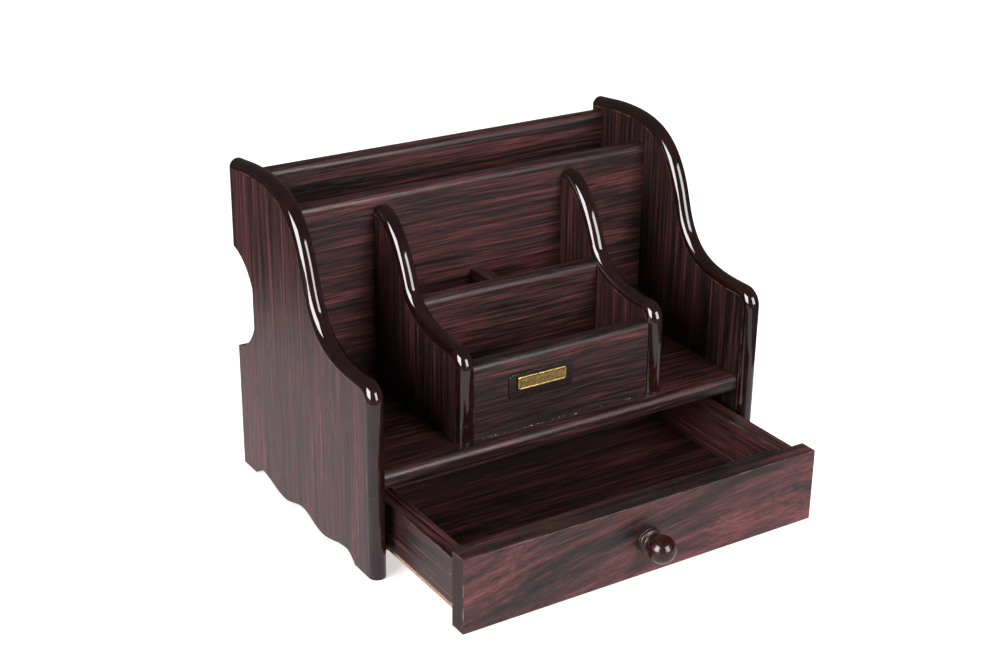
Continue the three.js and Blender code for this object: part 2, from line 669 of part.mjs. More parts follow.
function add(group, name, geometry, material) {
  const mesh = new THREE.Mesh(geometry, material);
  mesh.name = name;
  group.add(mesh);
}

const sides = [["left", -1], ["right", 1]];

for (const [word, side] of sides) {
  add(caseGroup, `side_panel_${word}`, sidePanel(side), laminate());
  add(caseGroup, `partition_${word}`, partition(side), laminate());
}
add(caseGroup, "shelf", shelf(), laminate());
add(caseGroup, "back_panel", backPanel(), laminate());
add(caseGroup, "rear_divider", rearDivider(), laminate());
add(caseGroup, "card_front",
  uprightBoard(partitionInner, CARD_FRONT_FACE, SHELF_TOP, CARD_FRONT_TOP), laminate());
add(caseGroup, "card_back",
  uprightBoard(partitionInner, CARD_BACK_FACE, SHELF_TOP, CARD_BACK_TOP), laminate());
add(caseGroup, "pen_divider", penDivider(), laminate());
add(caseGroup, "case_bottom", caseBottom(), hardboard());
add(caseGroup, "plate_base", plateBase(), film());
add(caseGroup, "plate_bar", plateBar(), brass());

for (const [board, places] of Object.entries(dowelPlaces)) {
  for (const [word, side] of sides) {
    places.forEach(([y, z], i) => {
      const peg = dowel().rotateZ(-side * Math.PI / 2);
      peg.translate(side * (innerHalf + DOWEL_IN_SIDE - DOWEL_LENGTH), y, z);
      add(caseGroup, `${board}_dowel_${word}_${i + 1}`, peg, beech());
    });
  }
}

for (const [word, side] of sides) {
  partitionScrewPlaces.forEach((y, i) => {
    add(caseGroup, `partition_screw_${word}_${i + 1}`, partitionScrew(side, y, 0), steel());
  });
}

add(drawerGroup, "drawer_front", drawerFront(), laminate());
add(drawerGroup, "drawer_inner_front", drawerCrossBoard(crossBoards.front, [knobHole()]), laminate());
add(drawerGroup, "drawer_back", drawerCrossBoard(crossBoards.back, []), laminate());
add(drawerGroup, "drawer_bottom", drawerBottom(), hardboard());
add(drawerGroup, "knob", knob(), cherry());
add(drawerGroup, "knob_screw", knobScrew(), steel());
for (const [word, side] of sides) {
  add(drawerGroup, `drawer_side_${word}`, drawerSide(side), laminate());
  for (const [place, y] of Object.entries(crossBoards)) {
    cornerBradHeights.forEach((z, i) => {
      add(drawerGroup, `corner_brad_${place}_${word}_${i + 1}`, cornerBrad(side, y, z, 0), steel());
    });
  }
  bottomBradPlaces.forEach((y, i) => {
    add(drawerGroup, `bottom_brad_${word}_${i + 1}`, bottomBrad(side, y, 0), steel());
  });
}

// The origin is on the ground, under the middle of the whole object with its drawer open.
const group = new THREE.Group();
group.add(caseGroup, drawerGroup);
group.position.y = -(DEPTH + drawerFace - knobReach) / 2;
group.updateMatrixWorld(true);

export default group;
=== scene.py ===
import math
import random

import bmesh
import bpy
from mathutils import Matrix, Vector
from mathutils.geometry import interpolate_bezier


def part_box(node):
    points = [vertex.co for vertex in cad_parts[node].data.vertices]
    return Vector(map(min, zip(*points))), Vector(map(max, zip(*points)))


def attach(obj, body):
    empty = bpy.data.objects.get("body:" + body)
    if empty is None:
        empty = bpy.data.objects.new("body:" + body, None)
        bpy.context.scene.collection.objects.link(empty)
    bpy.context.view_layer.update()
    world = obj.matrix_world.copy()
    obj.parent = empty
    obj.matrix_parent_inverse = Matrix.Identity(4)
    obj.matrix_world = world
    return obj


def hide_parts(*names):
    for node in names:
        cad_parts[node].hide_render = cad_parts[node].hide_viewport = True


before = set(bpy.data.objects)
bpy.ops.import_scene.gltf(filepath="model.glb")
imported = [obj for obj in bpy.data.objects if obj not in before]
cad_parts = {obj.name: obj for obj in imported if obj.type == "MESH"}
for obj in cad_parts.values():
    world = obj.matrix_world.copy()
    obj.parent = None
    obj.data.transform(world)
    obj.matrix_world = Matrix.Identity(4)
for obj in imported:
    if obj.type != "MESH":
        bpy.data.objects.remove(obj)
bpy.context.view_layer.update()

MM = 0.001

# ---- the table and the lights ---------------------------------------------------------
# The organizer stands on a plain pale table top that is lit a little from below. Two soft
# boxes, to the left and to the right of the viewer, give its lacquered edges their paired
# highlights, and past the table's middle the studio floor is dark in every reflection.

scene = bpy.context.scene
scene.view_settings.view_transform = "Standard"
scene.view_settings.look = "None"


def new_material(name, **settings):
    """An empty material with a Principled shader whose plain sockets are set."""
    material = bpy.data.materials.new(name)
    material.use_nodes = True
    material.node_tree.nodes.clear()
    output = material.node_tree.nodes.new("ShaderNodeOutputMaterial")
    surface = material.node_tree.nodes.new("ShaderNodeBsdfPrincipled")
    for socket, value in settings.items():
        surface.inputs[socket.replace("_", " ")].default_value = value
    material.node_tree.links.new(surface.outputs["BSDF"], output.inputs["Surface"])
    return material, surface


def add_node(material, kind, inputs=None, **settings):
    """A node whose inputs are numbers or the outputs of other nodes."""
    node = material.node_tree.nodes.new("ShaderNode" + kind)
    for setting, value in settings.items():
        setattr(node, setting, value)
    for socket, value in (inputs or {}).items():
        if isinstance(value, bpy.types.NodeSocket):
            material.node_tree.links.new(value, node.inputs[socket])
        else:
            node.inputs[socket].default_value = value
    return node


def connect(material, output, node, socket):
    material.node_tree.links.new(output, node.inputs[socket])


def math_node(material, operation, first, second=0.0):
    return add_node(material, "Math", {0: first, 1: second}, operation=operation).outputs[0]


def object_point(material):
    """Each point's place on the organizer, in metres."""
    return add_node(material, "TexCoord").outputs["Object"]


def blotches(material, point, scale, detail):
    """Even, shapeless noise with no grain."""
    return add_node(material, "TexNoise", {
        "Vector": point, "Scale": scale, "Detail": detail}).outputs["Fac"]


def rough_up(material, surface, height, strength, depth):
    """Let a height, up to a depth in metres, disturb the shine of a surface."""
    bump = add_node(material, "Bump", {
        "Strength": strength, "Distance": depth, "Height": height})
    connect(material, bump.outputs["Normal"], surface, "Normal")


def spread(material, value, low, high, to_low=0.0, to_high=1.0):
    """Stretch the part of a value between low and high to a new range."""
    node = add_node(material, "MapRange", {
        "Value": value, "From Min": low, "From Max": high, "To Min": to_low, "To Max": to_high,
    }, interpolation_type="SMOOTHSTEP")
    return node.outputs["Result"]


def mix_colour(material, share, first, second):
    node = add_node(material, "Mix", data_type="RGBA", blend_type="MIX")
    for index, value in ((0, share), (6, first), (7, second)):
        if isinstance(value, bpy.types.NodeSocket):
            material.node_tree.links.new(value, node.inputs[index])
        else:
            node.inputs[index].default_value = value
    return node.outputs[2]


TABLE_HALF = 4.0
TABLE_DROP = 0.0001  # keeps the feet from sharing a plane with the table top
TABLE_MIDDLE = 0.28
MIDDLE_PLACE = Vector((-0.05, 0.03, 0.0005))
TABLE_GLOW, GLOW_STARTS = 0.50, 0.6
FAR_GLOW, GLOW_FULL = 0.95, 2.0
MIDDLE_GLOW = 0.82
TABLE_COLOUR = (0.83, 0.83, 0.82, 1)
TABLE_COLOUR_PALER = (0.86, 0.86, 0.85, 1)

table_mesh = bmesh.new()
bmesh.ops.create_grid(table_mesh, x_segments=1, y_segments=1, size=TABLE_HALF)
bmesh.ops.translate(table_mesh, verts=table_mesh.verts, vec=(0, 0, -TABLE_DROP))
table_data = bpy.data.meshes.new("table_top")
table_mesh.to_mesh(table_data)
table_mesh.free()
table_top = bpy.data.objects.new("table_top", table_data)
scene.collection.objects.link(table_top)
table_finish, table_surface = new_material("table_finish", Roughness=0.7)
table_grain = add_node(table_finish, "TexNoise", {"Scale": 3.0, "Detail": 2.0})
connect(table_finish, mix_colour(table_finish, table_grain.outputs["Fac"], TABLE_COLOUR,
                                 TABLE_COLOUR_PALER), table_surface, "Base Color")
table_surface.inputs["Emission Color"].default_value = (1, 1, 1, 1)
table_reach = add_node(table_finish, "VectorMath", {0: object_point(table_finish)},
                       operation="LENGTH").outputs["Value"]
connect(table_finish,
        spread(table_finish, table_reach, GLOW_STARTS, GLOW_FULL, TABLE_GLOW, FAR_GLOW),
        table_surface, "Emission Strength")
table_data.materials.append(table_finish)


def stage_card(name, inner, outer, tint, shine):
    """A flat ring or disc just over the table that only light paths see, not the camera."""
    mesh = bmesh.new()
    bmesh.ops.create_circle(mesh, segments=64, radius=inner or outer, cap_ends=not inner)
    if inner:
        made = bmesh.ops.extrude_edge_only(mesh, edges=mesh.edges)["geom"]
        rim = [item for item in made if isinstance(item, bmesh.types.BMVert)]
        bmesh.ops.scale(mesh, verts=rim, vec=(outer / inner,) * 3)
    bmesh.ops.translate(mesh, verts=mesh.verts, vec=MIDDLE_PLACE)
    data = bpy.data.meshes.new(name)
    mesh.to_mesh(data)
    mesh.free()
    card = bpy.data.objects.new(name, data)
    scene.collection.objects.link(card)
    card.visible_camera = False
    card.visible_shadow = False
    material, surface = new_material(name, Roughness=0.9, Emission_Strength=shine)
    nap = add_node(material, "TexNoise", {"Scale": 30.0, "Detail": 2.0})
    connect(material, mix_colour(material, nap.outputs["Fac"], (0.94, 0.94, 1.0, 1),
                                 (1.0, 0.97, 1.0, 1)), surface, "Emission Color")
    connect(material, mix_colour(material, nap.outputs["Fac"], (tint, tint, tint, 1),
                                 (tint * 2, tint * 2, tint * 2, 1)), surface, "Base Color")
    data.materials.append(material)
    return card


# The ring darkens what the boards reflect past the table's middle; the disc inside it sets
# how bright the middle itself is in a reflection, and lights nothing.
stage_card("dark_surround", TABLE_MIDDLE, TABLE_HALF, 0.02, 0.0)
grey_card = stage_card("grey_card", 0, TABLE_MIDDLE, 0.04, MIDDLE_GLOW)
grey_card.visible_diffuse = False

world = bpy.data.worlds.new("studio")
world.use_nodes = True
room_light = world.node_tree.nodes["Background"].inputs
room_light["Color"].default_value = (0.95, 0.97, 1.0, 1)
room_light["Strength"].default_value = 0.10
scene.world = world

LIT_POINT = Vector((0, 0, 0.07))
BOX_DISTANCE = 1.6
BOX_HEIGHT = 22  # degrees up from the table
LEFT_BEARING = -77
RIGHT_BEARING = 13
REAR_BEARING, REAR_HEIGHT = 150, 40
GLEAM_LEAD = 0.1  # how much nearer the left highlight stands than the light it stands for


def soft_box(name, bearing, height, distance, width, length, power):
    """A soft rectangle of light that faces the organizer. Its bearing is counted to the
    right from straight ahead of the organizer, its height above the table, in degrees."""
    bearing, height = math.radians(bearing), math.radians(height)
    toward = Vector((math.sin(bearing) * math.cos(height),
                     -math.cos(bearing) * math.cos(height), math.sin(height)))
    light = bpy.data.lights.new(name, "AREA")
    light.shape = "RECTANGLE"
    light.size = width
    light.size_y = length
    light.energy = power
    lamp = bpy.data.objects.new(name, light)
    lamp.location = LIT_POINT + toward * distance
    lamp.rotation_euler = (-toward).to_track_quat("-Z", "Y").to_euler()
    scene.collection.objects.link(lamp)
    return lamp


# The left box is in two parts: one lights the boards, the other is only seen as a highlight.
left_soft_box = soft_box("left_soft_box", LEFT_BEARING, BOX_HEIGHT, BOX_DISTANCE + GLEAM_LEAD,
                         0.98, 1.22, 34)
left_soft_box.visible_glossy = False
left_gleam = soft_box("left_gleam", LEFT_BEARING, BOX_HEIGHT, BOX_DISTANCE, 0.92, 1.15, 60)
left_gleam.visible_diffuse = False
soft_box("right_soft_box", RIGHT_BEARING, BOX_HEIGHT, BOX_DISTANCE, 0.8, 1.05, 34)

# A weak wide light from behind keeps the back readable and leaves no highlight of its own.
rear_fill = soft_box("rear_fill", REAR_BEARING, REAR_HEIGHT, BOX_DISTANCE, 1.4, 1.4, 22)
rear_fill.visible_glossy = False

# The viewer stands at the front left and looks down at the organizer.
VIEW_PLACE = Vector((-0.41252, -0.60944, 0.40303))
VIEW_YAW = math.radians(32.605)
VIEW_PITCH = math.radians(23.546)
VIEW_ROLL = math.radians(0.684)
VIEW_LENS = 63.46
VIEW_FILM_WIDTH = 36

ahead = Vector((math.sin(VIEW_YAW) * math.cos(VIEW_PITCH),
                math.cos(VIEW_YAW) * math.cos(VIEW_PITCH), -math.sin(VIEW_PITCH)))
level = Vector((math.cos(VIEW_YAW), -math.sin(VIEW_YAW), 0))
upright = level.cross(ahead)
right_hand = level * math.cos(VIEW_ROLL) + upright * math.sin(VIEW_ROLL)
overhead = upright * math.cos(VIEW_ROLL) - level * math.sin(VIEW_ROLL)
camera_data = bpy.data.cameras.new("camera")
camera_data.lens = VIEW_LENS
camera_data.sensor_width = VIEW_FILM_WIDTH
camera = bpy.data.objects.new("camera", camera_data)
camera.matrix_world = Matrix.Translation(VIEW_PLACE) @ Matrix(
    (right_hand, overhead, -ahead)).transposed().to_4x4()
scene.collection.objects.link(camera)
scene.camera = camera

# ---- side panels ----------------------------------------------------------------------
# Fibre board faced on both sides with a dark rosewood-print laminate. The front and top
# edge is routed to a half round, stained and lacquered; the rear edge with its finger
# notch and the wavy lower edge are sawn, then painted dark.

SIDE_THICKNESS = 8.1
SIDE_FACE = SIDE_THICKNESS / 2  # front of the laminate, behind the half-round edge
DEPTH = 131.3
SHOULDER = 89.0
CREST = 152.8
CREST_FROM_REAR = 25.7
REAR_TOP = 150.7
KNUCKLE = 5.2
FRONT_FOOT = 17.0
REAR_FOOT = 13.1
WAVE_HEIGHT = 4.5
WAVE_DIP = 0.4
NOTCH_RADIUS = 25.6
NOTCH_HEIGHT = 87.5
NOTCH_SETBACK = 5.0
FRONT_STRAIGHT = 40  # a mark on the straight front edge, below the knuckle
# The S of the edge: low handles, bend and high handles, as shares of its run and its climb.
SIDE_CURVE = ((0.3, 0), (0.445, 0.07), (0.527, 0.478), (0.613, 0.906), (0.762, 1))
REAR_CURVE = (0.4, 0.65)  # handles, as shares of the way from the crest to the rear edge
REAR_CURVE_LIFT = 0.7
FOOT_SHARE = 0.15  # of half the wave, where its edge climbs off the foot
DIP_SHARE = 0.62  # of half the wave, where the dip between the humps is lowest
ARRIS = 0.3  # sanded-off corner of every sawn edge
CROWN = 0.03  # left flat in the middle of the half round
SEAM = 0.28  # width of the line between laminate and lacquered edge
SEAM_SINK = 0.06
CURVE_POINTS = 22
KNUCKLE_STEPS = 10
NOTCH_STEPS = 36
WAVE_STEPS = 60
ROUND_SEGMENTS = 9
ARRIS_SEGMENTS = 2
LAMINATE, LACQUER, PAINT, RUBBED, SEAM_LINE = range(5)

DARK_WOOD = (0.0036, 0.0028, 0.0030, 1)
BROWN_WOOD = (0.0135, 0.0072, 0.0072, 1)
RED_WOOD = (0.060, 0.0172, 0.0172, 1)
BRIGHT_WOOD = (0.150, 0.037, 0.038, 1)
WOOD_TONES = ((0.40, DARK_WOOD), (0.475, BROWN_WOOD), (0.56, RED_WOOD), (0.66, BRIGHT_WOOD))
WOOD_GLOSS = (0.32, 0.40)
FIBRE_SHARE = 0.28  # of the tone, next to the bands and the streaks
GRAIN_TURN = {"x": (0, 0, 0), "y": (0, 0, -math.pi / 2), "z": (0, math.pi / 2, 0)}


def stretched_noise(material, point, along, across, detail, rough=0.55):
    """Noise drawn out along the first axis, in metres along and across the grain."""
    stretched = add_node(material, "VectorMath", {
        0: point, 1: (1 / along, 1 / across, 1 / across)}, operation="MULTIPLY")
    noise = add_node(material, "TexNoise", {
        "Vector": stretched.outputs[0], "Scale": 1.0, "Detail": detail, "Roughness": rough})
    return noise.outputs["Fac"]


def rosewood(name, grain, place, slant=0.0, wander=0.0015, breadth=1.0, length=1.0,
             warmth=0.0, bold=0.22):
    """Rosewood-print laminate. The grain runs along the named axis, place keeps boards from
    matching, slant tips the grain, breadth and length stretch its bands, bold is how
    strongly the broad bands show and warmth adds red."""
    material, surface = new_material(name, IOR=1.4)
    turn = [a + b for a, b in zip(GRAIN_TURN[grain], (0, slant, 0))]
    point = add_node(material, "Mapping", {"Vector": object_point(material), "Location": place,
                                           "Rotation": turn}).outputs[0]
    bend = stretched_noise(material, point, 0.13, 0.03 * breadth, 1.0)
    shift = math_node(material, "MULTIPLY",
                      math_node(material, "SUBTRACT", bend, 0.5), wander * 4)
    sideways = add_node(material, "CombineXYZ", {"Y": shift, "Z": shift}).outputs[0]
    point = add_node(material, "VectorMath", {0: point, 1: sideways},
                     operation="ADD").outputs[0]

    bands = stretched_noise(material, point, 0.16, 0.0065 * breadth, 2.0)
    streaks = stretched_noise(material, point, 0.055 * length, 0.0012 * breadth, 3.0, 0.65)
    fibres = stretched_noise(material, point, 0.022 * length, 0.00045, 2.0, 0.6)
    pores = stretched_noise(material, point, 0.009, 0.00027, 1.0)

    tone = math_node(material, "ADD", math_node(material, "MULTIPLY", bands, bold),
                     math_node(material, "MULTIPLY", streaks, 1 - FIBRE_SHARE - bold))
    tone = math_node(material, "ADD", tone,
                     math_node(material, "MULTIPLY", fibres, FIBRE_SHARE))
    tone = math_node(material, "ADD", tone, warmth)
    ramp = add_node(material, "ValToRGB", {"Fac": tone})
    stops = ramp.color_ramp.elements
    stops[0].position, stops[0].color = WOOD_TONES[0]
    stops[1].position, stops[1].color = WOOD_TONES[-1]
    for position, colour in WOOD_TONES[1:-1]:
        stops.new(position).color = colour
    pore_mask = spread(material, pores, 0.56, 0.68)
    colour = mix_colour(material, math_node(material, "MULTIPLY", pore_mask, 0.6),
                        ramp.outputs["Color"], DARK_WOOD)
    connect(material, colour, surface, "Base Color")

    rough = spread(material, streaks, 0.3, 0.7, *WOOD_GLOSS)
    rough = math_node(material, "ADD", rough, math_node(material, "MULTIPLY", pore_mask, 0.12))
    connect(material, rough, surface, "Roughness")
    height = math_node(material, "SUBTRACT", math_node(material, "MULTIPLY", fibres, 0.5),
                       math_node(material, "MULTIPLY", pore_mask, 0.6))
    rough_up(material, surface, height, 0.35, 0.00006)
    return material


def lacquered_edge(name):
    """Maroon-brown stain under a thick, slightly uneven gloss lacquer, with dust in it."""
    material, surface = new_material(name, IOR=1.55)
    point = object_point(material)
    stain = blotches(material, point, 90.0, 3.0)
    colour = mix_colour(material, spread(material, stain, 0.35, 0.65),
                        (0.0085, 0.0028, 0.0028, 1), (0.0140, 0.0043, 0.0040, 1))
    dust = add_node(material, "TexVoronoi", {"Vector": point, "Scale": 420.0})
    speck = spread(material, dust.outputs["Distance"], 0.10, 0.05)
    rare = blotches(material, point, 150.0, 0.0)
    speck = math_node(material, "MULTIPLY", speck, spread(material, rare, 0.60, 0.66))
    colour = mix_colour(material, speck, colour, (0.10, 0.075, 0.07, 1))
    connect(material, colour, surface, "Base Color")
    connect(material, spread(material, stain, 0.3, 0.7, 0.055, 0.095),
            surface, "Roughness")
    peel = blotches(material, point, 260.0, 1.0)
    height = math_node(material, "ADD", peel, speck)
    rough_up(material, surface, height, 0.12, 0.00006)
    return material


def painted_edge(name):
    """Sawn fibre board under thin dark paint, rough, with pale rubbed spots."""
    material, surface = new_material(name, IOR=1.45)
    point = object_point(material)
    fluff = blotches(material, point, 1400.0, 3.0)
    patch = blotches(material, point, 160.0, 2.0)
    colour = mix_colour(material, fluff, (0.016, 0.010, 0.009, 1),
                        (0.040, 0.024, 0.020, 1))
    rubbed = math_node(material, "MULTIPLY", spread(material, patch, 0.58, 0.72),
                       spread(material, fluff, 0.45, 0.6))
    colour = mix_colour(material, rubbed, colour, (0.16, 0.095, 0.06, 1))
    connect(material, colour, surface, "Base Color")
    connect(material, spread(material, patch, 0.3, 0.7, 0.55, 0.72),
            surface, "Roughness")
    rough_up(material, surface, fluff, 0.5, 0.00015)
    return material


def worn_arris(name, pale):
    """The knife-thin corner where the laminate is rubbed: dark, with paler worn stretches."""
    material, surface = new_material(name, IOR=1.5)
    point = object_point(material)
    patch = blotches(material, point, 120.0, 4.0)
    fleck = blotches(material, point, 1500.0, 1.0)
    wear = math_node(material, "ADD", patch,
                     math_node(material, "MULTIPLY", fleck, 0.3))
    wear = spread(material, wear, 0.60, 0.85)
    connect(material, mix_colour(material, wear, (0.016, 0.009, 0.009, 1), pale),
            surface, "Base Color")
    connect(material, spread(material, fleck, 0.3, 0.7, 0.38, 0.55),
            surface, "Roughness")
    rough_up(material, surface, fleck, 0.4, 0.00008)
    return material


lacquer = lacquered_edge("lacquered_edge")
dark_paint = painted_edge("painted_sawn_edge")
arris_finish = worn_arris("worn_arris", (0.10, 0.068, 0.062, 1))
seam_finish = worn_arris("seam_line", (0.26, 0.12, 0.055, 1))


def curve_through(start, start_handle, end_handle, end):
    """Points of one curved stretch of an outline, the last one left out."""
    corners = [Vector((y, z)) for y, z in (start, start_handle, end_handle, end)]
    return list(interpolate_bezier(*corners, CURVE_POINTS))[:-1]


def climbing_edge(face, crest, end, shares):
    """Points of a board's edge from the knuckle on its front to its end: a quarter circle,
    then an S whose bend and handles are shares of the way across and of the way up."""
    knee = (face + KNUCKLE, SHOULDER)
    points = []
    for i in range(KNUCKLE_STEPS):
        angle = math.pi / 2 * i / KNUCKLE_STEPS
        points.append(Vector((knee[0] - KNUCKLE * math.cos(angle),
                              SHOULDER - KNUCKLE + KNUCKLE * math.sin(angle))))
    low_start, low_end, bend, high_start, high_end = [
        (knee[0] + (end[0] - knee[0]) * across, SHOULDER + (crest - SHOULDER) * up)
        for across, up in shares]
    return (points + curve_through(knee, low_start, low_end, bend)
            + curve_through(bend, high_start, high_end, end))


def pushed_out(path, distance):
    """A path moved sideways, square to itself, out of the board."""
    moved = []
    for i, point in enumerate(path):
        along = (path[min(i + 1, len(path) - 1)] - path[max(i - 1, 0)]).normalized()
        moved.append(point + Vector((-along.y, along.x)) * distance)
    moved[0] = path[0] + Vector((-distance, 0))
    moved[-1] = path[-1] + Vector((0, distance))
    return moved


def put_in_scene(mesh, name, materials, body, replaced):
    """Turn a finished bmesh, in millimetres, into a piece that stands for its CAD nodes."""
    bmesh.ops.scale(mesh, vec=(MM, MM, MM), verts=mesh.verts)
    data = bpy.data.meshes.new(name)
    mesh.to_mesh(data)
    mesh.free()
    for face in data.polygons:
        face.use_smooth = True
    for material in materials:
        data.materials.append(material)
    piece = bpy.data.objects.new(name, data)
    scene.collection.objects.link(piece)
    even = piece.modifiers.new("flat faces shade flat", "WEIGHTED_NORMAL")
    even.keep_sharp = True
    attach(piece, body)
    if replaced:
        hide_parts(*replaced)


def bevel_edges(mesh, edges, width, segments, finish=None):
    """Round over some edges, and give the new faces a finish of their own."""
    made = bmesh.ops.bevel(mesh, geom=edges, offset=width, offset_type="OFFSET",
                           affect="EDGES", segments=segments, profile=0.5, material=-1,
                           clamp_overlap=True)["faces"]
    if finish is not None:
        for face in made:
            face.material_index = finish


def sharp_edges(mesh, least=40):
    """Edges whose two faces turn by more than so many degrees."""
    return [edge for edge in mesh.edges
            if len(edge.link_faces) == 2 and math.degrees(edge.calc_face_angle()) > least]


def routed_board(path, rest, low_x, thickness, front):
    """A board standing front to back whose path edge is routed to a half round."""
    mesh = bmesh.new()
    outline = pushed_out(path, thickness / 2) + rest
    start = [mesh.verts.new((low_x, front + point.x, point.y)) for point in outline]
    on_path = set(start[:len(path)])
    cap = mesh.faces.new(start)
    made = bmesh.ops.extrude_face_region(mesh, geom=[cap])["geom"]
    moved = [item for item in made if isinstance(item, bmesh.types.BMVert)]
    bmesh.ops.translate(mesh, verts=moved, vec=(thickness, 0, 0))
    bmesh.ops.recalc_face_normals(mesh, faces=mesh.faces)
    for vert in start[:len(path)]:
        for edge in vert.link_edges:
            other = edge.other_vert(vert)
            if abs(other.co.x - vert.co.x) > thickness / 2:
                on_path.add(other)
    rounded = []
    for face in mesh.faces:
        if abs(face.normal.x) < 0.5:
            lacquered = all(vert in on_path for vert in face.verts)
            face.material_index = LACQUER if lacquered else PAINT
    for edge in mesh.edges:
        flat = abs(edge.verts[0].co.x - edge.verts[1].co.x) < 1e-6
        if flat and {face.material_index for face in edge.link_faces} == {LAMINATE, LACQUER}:
            rounded.append(edge)
    bevel_edges(mesh, rounded, thickness / 2 - CROWN, ROUND_SEGMENTS, LACQUER)
    bevel_edges(mesh, sharp_edges(mesh), ARRIS, ARRIS_SEGMENTS, RUBBED)
    caps = [face for face in mesh.faces
            if face.material_index == LAMINATE and abs(face.normal.x) > 0.99]
    ring = bmesh.ops.inset_region(mesh, faces=caps, thickness=SEAM, depth=-SEAM_SINK,
                                  use_even_offset=True)["faces"]
    for face in ring:
        beside = {other.material_index for edge in face.edges for other in edge.link_faces}
        face.material_index = SEAM_LINE if LACQUER in beside else LAMINATE
    return mesh


crest = (DEPTH - CREST_FROM_REAR, CREST)
side_path = [Vector((SIDE_FACE, 0)), Vector((SIDE_FACE, FRONT_STRAIGHT))]
side_path += climbing_edge(SIDE_FACE, CREST, crest, SIDE_CURVE)
side_path += curve_through(crest, (crest[0] + CREST_FROM_REAR * REAR_CURVE[0], CREST),
                           (crest[0] + CREST_FROM_REAR * REAR_CURVE[1],
                            REAR_TOP + REAR_CURVE_LIFT), (DEPTH, REAR_TOP))
side_path.append(Vector((DEPTH, REAR_TOP)))

notch_reach = math.acos(NOTCH_SETBACK / NOTCH_RADIUS)
side_rest = []
for i in range(NOTCH_STEPS + 1):
    angle = math.pi - notch_reach + 2 * notch_reach * i / NOTCH_STEPS
    side_rest.append(Vector((DEPTH + NOTCH_SETBACK + NOTCH_RADIUS * math.cos(angle),
                             NOTCH_HEIGHT + NOTCH_RADIUS * math.sin(angle))))
side_rest.append(Vector((DEPTH, 0)))

wave_end = DEPTH - REAR_FOOT
wave_half = (wave_end - FRONT_FOOT) / 2
foot_run = wave_half * FOOT_SHARE
dip_run = wave_half * DIP_SHARE
for i in range(WAVE_STEPS + 1):
    y = wave_end - 2 * wave_half * i / WAVE_STEPS
    along = min(y - FRONT_FOOT, wave_end - y)
    if along < foot_run:
        z = WAVE_HEIGHT * math.sin(math.pi / 2 * along / foot_run)
    else:
        to_dip = min((along - foot_run) / (dip_run - foot_run), 1)
        to_middle = max((along - dip_run) / (wave_half - dip_run), 0)
        swing = (math.cos(math.pi * (to_dip + to_middle)) + 1) / 2
        z = WAVE_DIP + (WAVE_HEIGHT - WAVE_DIP) * swing
    side_rest.append(Vector((y, z)))

panel_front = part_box("side_panel_left")[0].y / MM

for word, place, warmth in (("left", (0.031, 0.17, 0.05), 0.03),
                            ("right", (0.29, 0.41, 0.33), -0.01)):
    low_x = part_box("side_panel_" + word)[0].x / MM
    mesh = routed_board(side_path, side_rest, low_x, SIDE_THICKNESS, panel_front)
    finish = rosewood("laminate_side_" + word, "z", place, wander=0.0008, length=1.9,
                      warmth=warmth, bold=0.14)
    put_in_scene(mesh, "side_board_" + word,
                 [finish, lacquer, dark_paint, arris_finish, seam_finish],
                 "case", ["side_panel_" + word])

# ---- partitions -----------------------------------------------------------------------
# Two smaller boards of the same make stand on the shelf and hold the card tray between
# them. Their routed edge starts at the shelf and runs up to the tall rear divider.

PARTITION_SETBACK = 9.4
PARTITION_FACE = PARTITION_SETBACK + SIDE_THICKNESS / 2
PARTITION_CREST = 135.6
PARTITION_REAR_DROP = 2.4
PARTITION_CURVE = ((0.286, 0), (0.558, 0.105), (0.628, 0.38), (0.704, 0.673), (0.87, 1))

shelf_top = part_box("shelf")[1].z / MM
divider_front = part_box("rear_divider")[0].y / MM - panel_front
partition_end = (divider_front, PARTITION_CREST - PARTITION_REAR_DROP)
partition_path = [Vector((PARTITION_FACE, shelf_top))]
partition_path += climbing_edge(PARTITION_FACE, PARTITION_CREST, partition_end, PARTITION_CURVE)
partition_path.append(Vector(partition_end))

for word, place in (("left", (0.61, 0.23, 0.71)), ("right", (0.87, 0.52, 0.14))):
    low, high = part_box("partition_" + word)
    mesh = routed_board(partition_path, [Vector((divider_front, shelf_top))], low.x / MM,
                        (high.x - low.x) / MM, panel_front)
    finish = rosewood("laminate_partition_" + word, "z", place, wander=0.001, length=1.7,
                      bold=0.16)
    put_in_scene(mesh, "partition_board_" + word,
                 [finish, lacquer, dark_paint, arris_finish, seam_finish],
                 "case", ["partition_" + word])

# ---- shelf, back, dividers and card boards --------------------------------------------
# Straight boards with the laminate wrapped over one or two rounded long edges, grain
# running across the case. They are cut square at the ends and dowelled between the sides.

NOSE = 3.4
NOSE_SEGMENTS = 7
BOARD_ARRIS = 0.2
PEN_NOSE = 1.6
PEN_NOSE_SEGMENTS = 5
JOINT_GAP = 0.06  # hair line left where two boards meet
SQUARE = 60  # degrees; a corner at least as sharp as this is still square


def box_mesh(low, high, shrink=(0, 0, 0)):
    """A block between two corners, in millimetres, drawn in a little on each side."""
    mesh = bmesh.new()
    bmesh.ops.create_cube(mesh, size=1)
    size = [(b - a) / MM - 2 * s for a, b, s in zip(low, high, shrink)]
    middle = [(a + b) / 2 / MM for a, b in zip(low, high)]
    bmesh.ops.scale(mesh, vec=size, verts=mesh.verts)
    bmesh.ops.translate(mesh, vec=middle, verts=mesh.verts)
    return mesh


